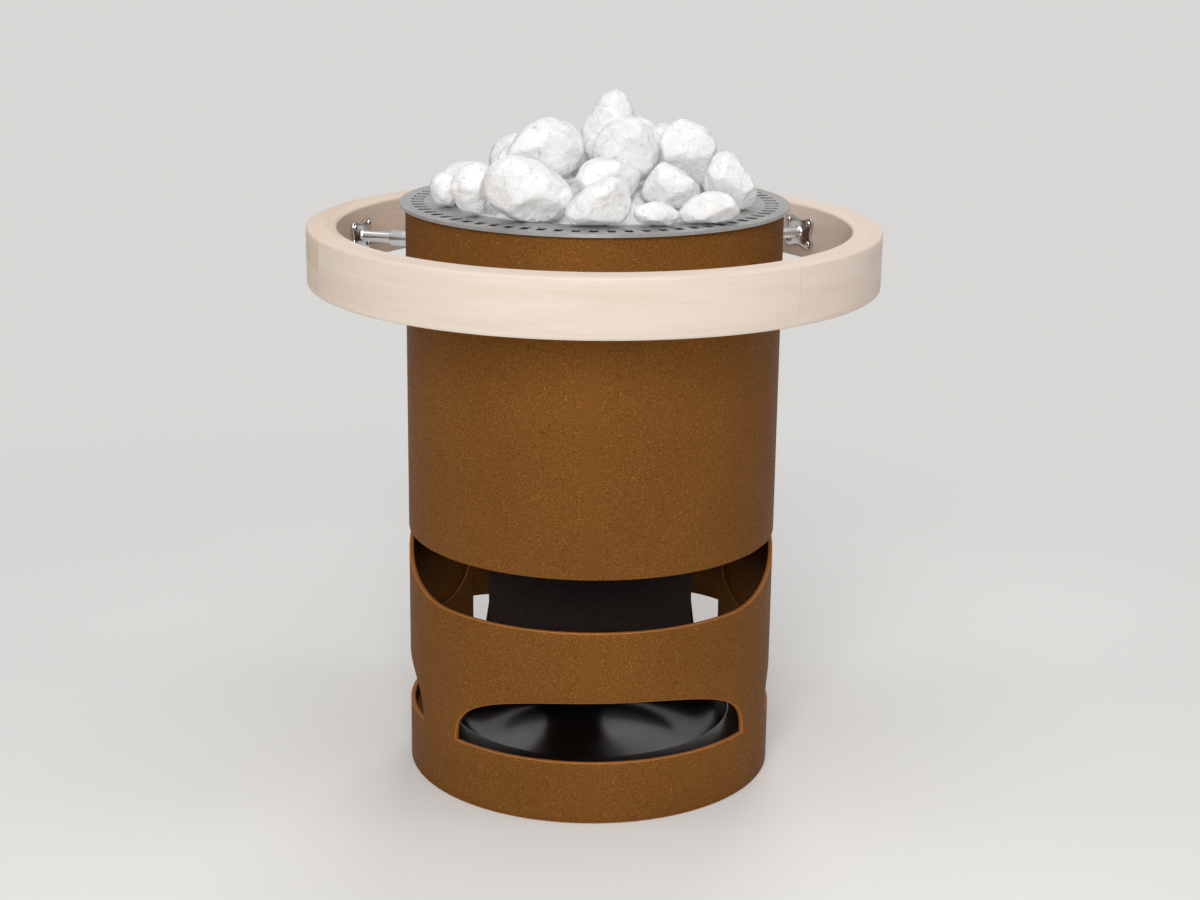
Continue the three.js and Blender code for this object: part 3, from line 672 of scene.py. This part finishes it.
def make_bowl():
    under = BOWL_RIM - BOWL_WALL
    side = BOWL_RADIUS - BOWL_WALL
    outside = []
    inside = []
    for i in range(BOWL_STEPS + 1):
        turn = math.pi / 2 * i / BOWL_STEPS
        reach = BOWL_FLOOR + (BOWL_RADIUS - BOWL_FLOOR) * math.sin(turn)
        rise = BOWL_DEPTH * (1 - math.cos(turn))
        outside.append((reach, under - BOWL_DEPTH + rise))
        inside.append((reach - BOWL_WALL * math.sin(turn), BOWL_RIM - BOWL_DEPTH + rise))
    inside[-1] = (side, BOWL_RIM - BOWL_LIP)
    for turn in BOWL_LIP_TURNS:
        reach = side + BOWL_LIP * (1 - math.cos(turn))
        inside.append((reach, BOWL_RIM - BOWL_LIP + BOWL_LIP * math.sin(turn)))
    edge = [
        (BOWL_FLANGE - BOWL_EDGE, under),
        (BOWL_FLANGE, under + BOWL_EDGE),
        (BOWL_FLANGE, BOWL_RIM - BOWL_EDGE),
        (BOWL_FLANGE - BOWL_EDGE, BOWL_RIM),
    ]
    lowest = (0, under - BOWL_DEPTH)
    profile = [lowest, *outside, *edge, *reversed(inside), (0, BOWL_RIM - BOWL_DEPTH)]
    mesh = turned_mesh("enamel_bowl", profile)
    add_piece("enamel_bowl", mesh, "bowl", "black_enamel", ["drip_bowl"], enamel)


def make_drum():
    inner = DRUM_RADIUS - DRUM_WALL
    profile = rounded([
        (DRUM_RADIUS - DRUM_LIP, DRUM_BOTTOM),
        (DRUM_RADIUS, DRUM_BOTTOM),
        (DRUM_RADIUS, DRUM_TOP),
        (inner, DRUM_TOP),
        (inner, DRUM_BOTTOM + DRUM_WALL),
        (DRUM_RADIUS - DRUM_LIP, DRUM_BOTTOM + DRUM_WALL),
    ], DRUM_ROUNDING)
    mesh = turned_mesh("drum_skin", profile)
    add_piece("drum_skin", mesh, "stove", "rust_brown_coat", ["drum_shell"], coat)


# Top plate with radial slots
def circle(radius):
    turns = [2 * math.pi * i / ROUND_STEPS for i in range(ROUND_STEPS)]
    return [(radius * math.cos(turn), radius * math.sin(turn)) for turn in turns]


def turned_outline(points, angle):
    cos = math.cos(math.radians(angle))
    sin = math.sin(math.radians(angle))
    return [(x * cos - y * sin, x * sin + y * cos) for x, y in points]


def make_plate():
    outlines = [circle(PLATE_RADIUS), circle(PLATE_HOLE)]
    half = PLATE_SLOT_WIDTH / 2
    near = PLATE_SLOT_MIDDLE - PLATE_SLOT_LENGTH / 2
    far = PLATE_SLOT_MIDDLE + PLATE_SLOT_LENGTH / 2
    corners = [(near, -half), (far, -half), (far, half), (near, half)]
    slot = rounded(corners, PLATE_SLOT_ROUNDING)
    for i in range(PLATE_SLOTS):
        outlines.append(turned_outline(slot, 360 * i / PLATE_SLOTS))
    top = PLATE_UNDER + PLATE_THICKNESS
    bm = bmesh.new()
    bm.from_mesh(filled_outline("plate_sheet", outlines, top - PLATE_SHEET, top, 0))
    rim_fold = (PLATE_RADIUS - PLATE_FOLD, PLATE_RADIUS - PLATE_FOLD_INSET)
    basket_fold = (BASKET_RADIUS - PLATE_FOLD, BASKET_RADIUS)
    inside_sheet = top - PLATE_SHEET / 2
    for inner, outer in (rim_fold, basket_fold):
        fold = [(inner, PLATE_UNDER), (outer, PLATE_UNDER), (outer, inside_sheet), (inner, inside_sheet)]
        turned(bm, fold)
    mesh = finish_mesh("slotted_plate", bm)
    add_piece("slotted_plate", mesh, "stove", "stainless_sheet", ["top_plate"], sheet)


# Guard rail
def make_rail():
    section = rounded([
        (RAIL_INNER, RAIL_BOTTOM),
        (RAIL_OUTER, RAIL_BOTTOM),
        (RAIL_OUTER, RAIL_TOP),
        (RAIL_INNER, RAIL_TOP),
    ], RAIL_ROUNDING, RAIL_ROUNDING_STEPS)
    # Each board takes its own wood; the right and left ones carry painted light and painted shade.
    for i, wood in enumerate((wood_light, wood_rose_lit, wood_tan_shaded)):
        start = RAIL_JOINTS[i] + RAIL_GLUE / 2
        end = RAIL_JOINTS[(i + 1) % 3] - RAIL_GLUE / 2
        if end < start:
            end += 360
        steps = round((end - start) / RAIL_STEP)
        bm = bmesh.new()
        rings = []
        for k in range(steps + 1):
            angle = start + (end - start) * k / steps
            rings.append([bm.verts.new(polar(radius, angle, height)) for radius, height in section])
        count = len(section)
        for near, far in zip(rings, rings[1:]):
            for k in range(count):
                m = (k + 1) % count
                bm.faces.new((near[k], far[k], far[m], near[m]))
        bm.faces.new(rings[0])
        bm.faces.new(reversed(rings[-1]))
        mesh = finish_mesh(f"rail_wood_{i + 1}", bm)
        add_piece(f"rail_wood_{i + 1}", mesh, "stove", "pale_wood", [f"rail_segment_{i + 1}"], wood)


def flange_holes():
    corners = ((1, 1), (-1, 1), (-1, -1), (1, -1))
    return [Vector((x * FLANGE_HOLE_X, z * FLANGE_HOLE_Z)) for x, z in corners]


def flange_outline():
    """Four round ears with edges that draw in between them."""
    points = []
    holes = flange_holes()
    for i, hole in enumerate(holes):
        for k in range(FLANGE_STEPS + 1):
            turn = math.pi / 2 * (i + k / FLANGE_STEPS)
            points.append(hole + FLANGE_EAR * Vector((math.cos(turn), math.sin(turn))))
        inwards = -Vector((math.cos(math.pi / 2 * (i + 1)), math.sin(math.pi / 2 * (i + 1))))
        start = points[-1]
        end = holes[(i + 1) % 4] - FLANGE_EAR * inwards
        for k in range(1, FLANGE_STEPS):
            share = k / FLANGE_STEPS
            points.append(start.lerp(end, share) + FLANGE_WAIST * math.sin(math.pi * share) ** 2 * inwards)
    return points


def make_flange(number, place):
    back = FLANGE_FRONT + FLANGE_THICKNESS
    mesh = filled_outline(f"flange_{number}", [flange_outline()], FLANGE_FRONT, back, FLANGE_ROUNDING)
    mesh.transform(place)
    replaced = [f"rail_flange_{number}"]
    add_piece(f"flange_{number}", mesh, "stove", "polished_stainless", replaced, polished)


def make_rod(number, place):
    """A rod with a bead where it meets the flange."""
    profile = [(0, ROD_START), (ROD_RADIUS, ROD_START)]
    profile += [(ROD_RADIUS + out, FLANGE_FRONT + on) for out, on in ROD_BEAD]
    profile.append((0, profile[-1][1]))
    mesh = turned_mesh(f"rod_{number}", profile, ROD_STEPS)
    mesh.transform(place)
    replaced = [f"rail_rod_{number}"]
    add_piece(f"rod_{number}", mesh, "stove", "polished_stainless", replaced, polished)


def make_sleeve(number, place):
    bore = ROD_RADIUS + SLEEVE_PLAY
    profile = rounded([
        (bore, SLEEVE_START),
        (SLEEVE_RADIUS, SLEEVE_START),
        (SLEEVE_RADIUS, SLEEVE_START + SLEEVE_LENGTH),
        (bore, SLEEVE_START + SLEEVE_LENGTH),
    ], SLEEVE_ROUNDING)
    mesh = turned_mesh(f"sleeve_{number}", profile, SLEEVE_STEPS)
    mesh.transform(place)
    replaced = [f"rail_sleeve_{number}"]
    add_piece(f"sleeve_{number}", mesh, "stove", "polished_stainless", replaced, polished)


def make_screws(number, place):
    """The four screws of a flange, with a recess in each head."""
    top = FLANGE_FRONT - SCREW_HEIGHT
    foot = FLANGE_FRONT + SCREW_SINK
    head = [(radius, top + depth) for radius, depth in SCREW_HEAD]
    head += [(SCREW_RADIUS, foot), (0, foot)]
    screws = bmesh.new()
    for hole in flange_holes():
        turned(screws, head, SCREW_STEPS, place @ Matrix.Translation(hole.to_3d() * MM))
    mesh = finish_mesh(f"flange_screws_{number}", screws)
    add_piece(f"flange_screws_{number}", mesh, "stove", "polished_stainless", [], polished)


def make_brackets():
    outwards = Matrix.Rotation(math.pi / 2, 4, "X")
    for i, angle in enumerate(BRACKET_ANGLES):
        place = Matrix.Translation((0, 0, BRACKET_HEIGHT * MM))
        place = place @ Matrix.Rotation(math.radians(angle), 4, "Z") @ outwards
        make_flange(i + 1, place)
        make_rod(i + 1, place)
        make_sleeve(i + 1, place)
        make_screws(i + 1, place)


# Stones
def weathered(point, normal, away, size):
    """A point of a stone's surface, moved by worn hollows, chips and grain."""
    scale, depth = STONE_HOLLOWS
    hollow = noise.noise(point * scale + away) * depth
    scale, depth = STONE_CHIPS
    chip = -abs(noise.noise(point * scale + away)) * depth
    scale, depth = STONE_GRAIN
    grain = noise.noise(point * scale + away) * depth
    return point + normal * size * (hollow + chip + grain + STONE_RISE)


def flat_directions(chance):
    """Directions of a stone's flats: some round its front outline, the others strewn over a ball."""
    directions = []
    start = chance.uniform(0, 2 * math.pi)
    for i in range(OUTLINE_FLATS):
        turn = start + 2 * math.pi * i / OUTLINE_FLATS
        directions.append((Vector((math.cos(turn), 0, math.sin(turn))), 1.0))
    for i in range(STONE_FLATS):
        height = 1 - (2 * i + 1) / STONE_FLATS
        turn = start + i * GOLDEN_ANGLE
        reach = math.sqrt(1 - height ** 2)
        normal = Vector((reach * math.cos(turn), reach * math.sin(turn), height))
        normal += Vector([chance.uniform(-FLAT_STRAY, FLAT_STRAY) for _ in range(3)])
        directions.append((normal.normalized(), chance.uniform(*FLAT_DEPTH)))
    return directions


def stone_surface(mesh, chance):
    """A ball whose points lie on broad flats laid round a mesh, with rounded edges between them."""
    corners = np.array([vert.co for vert in mesh.vertices])
    corners -= (corners.min(axis=0) + corners.max(axis=0)) / 2
    flats = []
    for normal, depth in flat_directions(chance):
        flats.append(np.array(normal) / (depth * (corners @ np.array(normal)).max()))
    ball = bmesh.new()
    bmesh.ops.create_icosphere(ball, subdivisions=STONE_DETAIL, radius=1)
    directions = np.array([vert.co.normalized() for vert in ball.verts])
    pull = np.maximum(directions @ np.array(flats).T, 0) ** STONE_SHARPNESS
    points = directions / (pull.sum(axis=1) ** (1 / STONE_SHARPNESS))[:, None]
    return ball, points


def make_stone(node, index):
    low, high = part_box(node)
    chance = random.Random(index + STONE_SEED)
    ball, points = stone_surface(nodes[node].data, chance)
    least, most = points.min(axis=0), points.max(axis=0)
    points = (points - (least + most) / 2) * np.array(high - low) / (most - least)
    middle = (low + high) / 2
    for vert, point in zip(ball.verts, points):
        vert.co = middle + Vector(point)
    ball.normal_update()
    away = Vector([index * shift for shift in STONE_SHIFT])
    size = min(high - low)
    worn = [weathered(vert.co, vert.normal, away, size) for vert in ball.verts]
    for vert, point in zip(ball.verts, worn):
        vert.co = point
    mesh = finish_mesh(node + "_worn", ball, smooth_angle=80)
    add_piece(node + "_worn", mesh, body_of_node[node], "quartz_stone", [node], quartz)


def packed_point(normal, away, wide, deep, tall):
    """A point of a packed stone round its own middle, in metres."""
    scale, depth = PACKED_LUMPS
    lump = 1 + depth * noise.noise(normal * scale + away)
    scale, depth = PACKED_DENTS
    lump -= depth * abs(noise.noise(normal * scale + away))
    return Vector((normal.x * wide, normal.y * deep, normal.z * tall)) * lump * 0.5 * MM


def make_packed_stones():
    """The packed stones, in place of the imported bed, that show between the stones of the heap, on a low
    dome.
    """
    chance = random.Random(BED_SEED)
    bm = bmesh.new()
    rise = BED_CROWN - BED_SHOULDER
    dome = [(0, BED_SHOULDER - BED_DEPTH), (BED_RADIUS, BED_SHOULDER - BED_DEPTH)]
    for i in range(DOME_RINGS, -1, -1):
        share = i / DOME_RINGS
        dome.append((BED_RADIUS * share, BED_CROWN - DOME_SINK - rise * share ** 2))
    turned(bm, dome, DOME_STEPS)
    for i in range(PACKED_COUNT):
        reach = (BED_RADIUS - PACKED_INSET) * math.sqrt((i + 0.5) / PACKED_COUNT)
        crown = BED_CROWN - rise * (reach / BED_RADIUS) ** 2
        wide, deep, tall = [chance.uniform(*size) for size in PACKED_SIZES]
        spin = Matrix.Rotation(chance.uniform(0, PACKED_SPIN), 4, "Z")
        tilt = Matrix.Rotation(chance.uniform(-PACKED_TILT, PACKED_TILT), 4, "X")
        turn = spin @ tilt
        place = polar(reach, i * GOLDEN_DEGREES, crown - PACKED_SINK * tall)
        away = Vector([i * shift for shift in PACKED_SHIFT])
        ball = bmesh.ops.create_icosphere(bm, subdivisions=PACKED_DETAIL, radius=1)["verts"]
        for vert in ball:
            normal = vert.co.normalized()
            vert.co = turn @ packed_point(normal, away, wide, deep, tall) + place
    mesh = finish_mesh("packed_stones", bm, smooth_angle=60)
    add_piece("packed_stones", mesh, "stove", "quartz_stone", ["stone_bed"], quartz)


# Pieces that keep the shape of their solids
def dress_nodes():
    finishes = {
        "terminal_box": dark_coat,
        "terminal_box_lid": dark_coat,
        "terminal_block": insulator,
        "cable_gland": gland_black,
        "drum_floor": galvanised,
        "heat_shield": galvanised,
        "stone_basket": sheet,
        "stone_grate": sheet,
        "element_holder": sheet,
    }
    for i in range(ELEMENT_COUNT):
        finishes[f"heating_element_{i + 1}"] = element_steel
    for name, material in finishes.items():
        node = nodes[name]
        node.data.materials.clear()
        node.data.materials.append(material)
    for name in ("terminal_box", "terminal_box_lid", "terminal_block", "cable_gland"):
        edge = nodes[name].modifiers.new("edge", "BEVEL")
        edge.width = BOX_ROUNDING * MM
        edge.segments = 2
        edge.limit_method = "ANGLE"


make_base()
make_rear_support()
make_ring()
make_bowl()
make_drum()
make_plate()
make_rail()
make_brackets()
make_packed_stones()
stone_holders = ("stone_basket", "stone_grate", "stone_bed")
stone_nodes = sorted(name for name in nodes if name.startswith("stone_") and name not in stone_holders)
for index, stone in enumerate(stone_nodes):
    make_stone(stone, index)
dress_nodes()


# Floor and light, in metres and watts
BACKDROP = srgb(216, 215, 213)
WORLD_LIGHT = (0.16, 0.16, 0.16, 1)
FLOOR_HALF = 40
FLOOR_DROP = 0.0005  # under the heater's lowest edge
SHADOW_START = 0.55
SHADOW_END = 1.7


def seen_directly(tree):
    """One for rays that show the backdrop itself, and zero for those that only light the object."""
    path = tree.nodes.new("ShaderNodeLightPath")
    total = path.outputs["Is Camera Ray"]
    for ray in ("Is Glossy Ray", "Is Transmission Ray"):
        node = tree.nodes.new("ShaderNodeMath")
        node.operation = "MAXIMUM"
        tree.links.new(total, node.inputs[0])
        tree.links.new(path.outputs[ray], node.inputs[1])
        total = node.outputs[0]
    return total


def make_floor():
    """A pale floor with the heater's shadow, which turns into the even backdrop away from it."""
    bm = bmesh.new()
    bmesh.ops.create_grid(bm, x_segments=1, y_segments=1, size=FLOOR_HALF)
    mesh = bpy.data.meshes.new("floor")
    bm.to_mesh(mesh)
    bm.free()
    floor = bpy.data.objects.new("floor", mesh)
    floor.location.z = -FLOOR_DROP
    scene.collection.objects.link(floor)
    s = Shader("floor", Roughness=0.8)
    cloud = s.ramp(s.noise(1.5, 2), (0.3, srgb(236, 235, 233)), (0.7, srgb(240, 239, 237)))
    mesh.materials.append(s.set(Base_Color=cloud))
    backdrop = s.add("ShaderNodeEmission")
    backdrop.inputs["Color"].default_value = BACKDROP
    reach = s.add("ShaderNodeVectorMath", operation="LENGTH")
    s.join(s.place, reach.inputs[0])
    away = s.add("ShaderNodeMapRange", interpolation_type="SMOOTHSTEP")
    s.feed(away, {"Value": reach.outputs["Value"], "From Min": SHADOW_START, "From Max": SHADOW_END})
    blend = s.add("ShaderNodeMixShader")
    s.join(s.math("MULTIPLY", away.outputs[0], seen_directly(s.tree)), blend.inputs[0])
    s.join(s.surface.outputs[0], blend.inputs[1])
    s.join(backdrop.outputs[0], blend.inputs[2])
    s.join(blend.outputs[0], s.tree.nodes["Material Output"].inputs["Surface"])


def make_world():
    """Weak even light, behind which rays that show the surroundings find the backdrop."""
    world = bpy.data.worlds.new("studio")
    world.use_nodes = True
    tree = world.node_tree
    light = tree.nodes["Background"]
    light.inputs["Color"].default_value = WORLD_LIGHT
    backdrop = tree.nodes.new("ShaderNodeBackground")
    backdrop.inputs["Color"].default_value = BACKDROP
    blend = tree.nodes.new("ShaderNodeMixShader")
    tree.links.new(seen_directly(tree), blend.inputs[0])
    tree.links.new(light.outputs[0], blend.inputs[1])
    tree.links.new(backdrop.outputs[0], blend.inputs[2])
    tree.links.new(blend.outputs[0], tree.nodes["World Output"].inputs["Surface"])
    scene.world = world


def add_lamp(name, place, aim, size, power, mirrored=True):
    """A soft rectangular lamp, which shiny pieces mirror or not."""
    data = bpy.data.lights.new(name, "AREA")
    data.shape = "RECTANGLE"
    data.size, data.size_y = size
    data.energy = power
    lamp = bpy.data.objects.new(name, data)
    lamp.location = place
    lamp.rotation_euler = (Vector(aim) - Vector(place)).to_track_quat("-Z", "Y").to_euler()
    lamp.visible_glossy = mirrored
    scene.collection.objects.link(lamp)


make_floor()
add_lamp("key_lamp", (-0.3, -3.0, 2.0), (0, 0, 0.45), (1.5, 1.5), 67)
add_lamp("top_lamp", (0.1, -0.5, 3.0), (0, 0, 0.5), (2.2, 2.2), 27)
add_lamp("left_lamp", (-2.6, -0.2, 1.9), (0, 0, 0.5), (0.8, 1.8), 7)
add_lamp("right_lamp", (2.6, -0.2, 1.9), (0, 0, 0.5), (0.8, 1.8), 9)
add_lamp("back_lamp", (0.5, 2.9, 2.1), (0, 0, 0.45), (1.5, 1.5), 34, mirrored=False)
make_world()
scene.view_settings.view_transform = "Standard"
